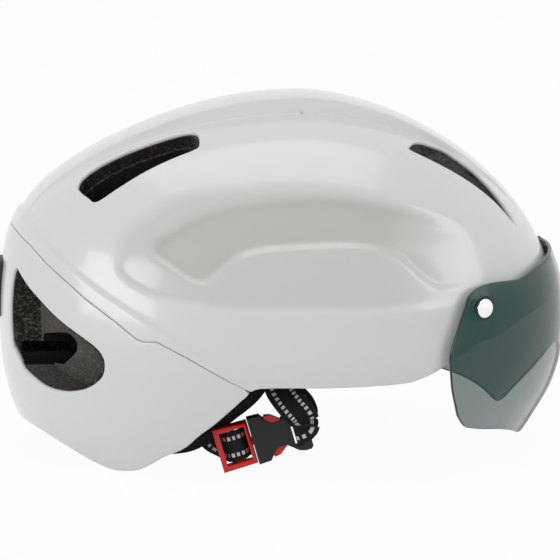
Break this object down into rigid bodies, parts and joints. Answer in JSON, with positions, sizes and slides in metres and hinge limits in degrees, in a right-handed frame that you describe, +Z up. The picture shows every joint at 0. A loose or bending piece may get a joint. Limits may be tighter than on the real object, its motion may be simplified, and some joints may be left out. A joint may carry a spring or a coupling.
{
  "type": "bike helmet",
  "caption": "Bike helmet with a glossy shell, a raised centre band, side vents, a wrap-round magnetic visor, chin straps with a squeeze buckle, a dial size adjuster and a rear light.",
  "frame": {"origin": "middle of the head space, level with the side rims", "axes": "+X points forward to the visor, +Y to the wearer's left, +Z up"},
  "size_m": [0.2828, 0.2074, 0.176],
  "materials": {
    "white_shell": "high gloss",
    "foam": "speckled, matt",
    "pad_fabric": "matt",
    "hook_tape": "matt",
    "smoked_lens": "gloss",
    "black_plastic": "satin",
    "silver_stud": "polished",
    "magnet": "plated",
    "steel": "plain",
    "webbing": "woven",
    "black_rubber": "matt",
    "red_plastic": "satin",
    "grey_plastic": "satin",
    "red_lens": "gloss",
    "circuit_board": "satin",
    "led": "clear"
  },
  "bodies": {
    "helmet": {"upper_shell": "white_shell", "lower_shell": "white_shell", "upper_liner": "foam", "lower_liner": "foam", "brow_pad": "pad_fabric", "crown_pad_right": "pad_fabric", "crown_pad_left": "pad_fabric", "side_pad_right": "pad_fabric", "side_pad_left": "pad_fabric", "pad_hooks": "hook_tape", "visor_seats": "steel", "front_strap_right": "webbing", "front_strap_left": "webbing", "rear_strap_right": "webbing", "rear_strap_left": "webbing", "buckle_strap": "webbing", "chin_strap": "webbing", "strap_divider_right": "black_plastic", "strap_divider_left": "black_plastic", "strap_anchors": "black_plastic", "strap_keeper": "black_rubber", "buckle_socket": "black_plastic", "buckle_clip": "red_plastic", "temple_pins": "black_plastic", "light_seat": "steel"},
    "visor": {"visor_lens": "smoked_lens", "visor_tab": "black_plastic", "visor_studs": "silver_stud", "visor_magnets": "magnet"},
    "prong_upper": {"upper_prong": "red_plastic"},
    "prong_lower": {"lower_prong": "red_plastic"},
    "band": {"right_arm": "black_plastic", "left_arm": "black_plastic"},
    "yoke": {"rear_yoke": "black_plastic", "dial_case": "black_plastic", "dial_cover": "black_plastic", "nape_pad": "pad_fabric"},
    "dial": {"dial_knob": "black_rubber", "dial_pinion": "grey_plastic"},
    "rack_upper": {"upper_rack": "grey_plastic"},
    "rack_lower": {"lower_rack": "grey_plastic"},
    "light": {"light_case": "black_plastic", "light_lens": "red_lens", "light_board": "circuit_board", "light_battery": "steel", "light_leds": "led", "light_magnet": "magnet", "light_port_cover": "black_rubber"},
    "button": {"light_button": "black_rubber"}
  },
  "joints": [
    {"name": "visor_pull", "type": "slide", "parent": "helmet", "child": "visor", "axis": [1, 0, 0], "range_m": [0, 0.09]},
    {"name": "upper_prong_squeeze", "type": "hinge", "parent": "helmet", "child": "prong_upper", "pos_m": [-0.01507, -0.074, -0.01923], "axis": [0, 1, 0], "range_deg": [0, 10], "stiffness_Nm_per_rad": 0.4},
    {"name": "lower_prong_squeeze", "type": "hinge", "parent": "helmet", "child": "prong_lower", "pos_m": [-0.01154, -0.074, -0.03153], "axis": [0, -1, 0], "range_deg": [0, 10], "stiffness_Nm_per_rad": 0.4},
    {"name": "band_tilt", "type": "hinge", "parent": "helmet", "child": "band", "pos_m": [0.01, 0, 0.018], "axis": [0, 1, 0], "range_deg": [-3, 6]},
    {"name": "yoke_draw", "type": "slide", "parent": "band", "child": "yoke", "axis": [0.9563, 0, 0.2924], "range_m": [0, 0.012]},
    {"name": "dial_turn", "type": "hinge", "parent": "yoke", "child": "dial", "pos_m": [-0.10476, 0, -0.01708], "axis": [0.9563, 0, 0.2924], "range_deg": [0, 153]},
    {"name": "upper_rack_draw", "type": "slide", "parent": "yoke", "child": "rack_upper", "axis": [0, -1, 0], "range_m": [0, 0.012]},
    {"name": "lower_rack_draw", "type": "slide", "parent": "yoke", "child": "rack_lower", "axis": [0, 1, 0], "range_m": [0, 0.012]},
    {"name": "light_pull", "type": "slide", "parent": "helmet", "child": "light", "axis": [-1, 0, 0], "range_m": [0, 0.025]},
    {"name": "button_press", "type": "slide", "parent": "light", "child": "button", "axis": [1, 0, 0], "range_m": [0, 0.0007], "stiffness_N_per_m": 2000}
  ],
  "couplings": [
    {"joint": "dial_turn", "follows": "yoke_draw", "rad_per_m": 222.2},
    {"joint": "upper_rack_draw", "follows": "yoke_draw", "ratio": 1},
    {"joint": "lower_rack_draw", "follows": "yoke_draw", "ratio": 1}
  ]
}
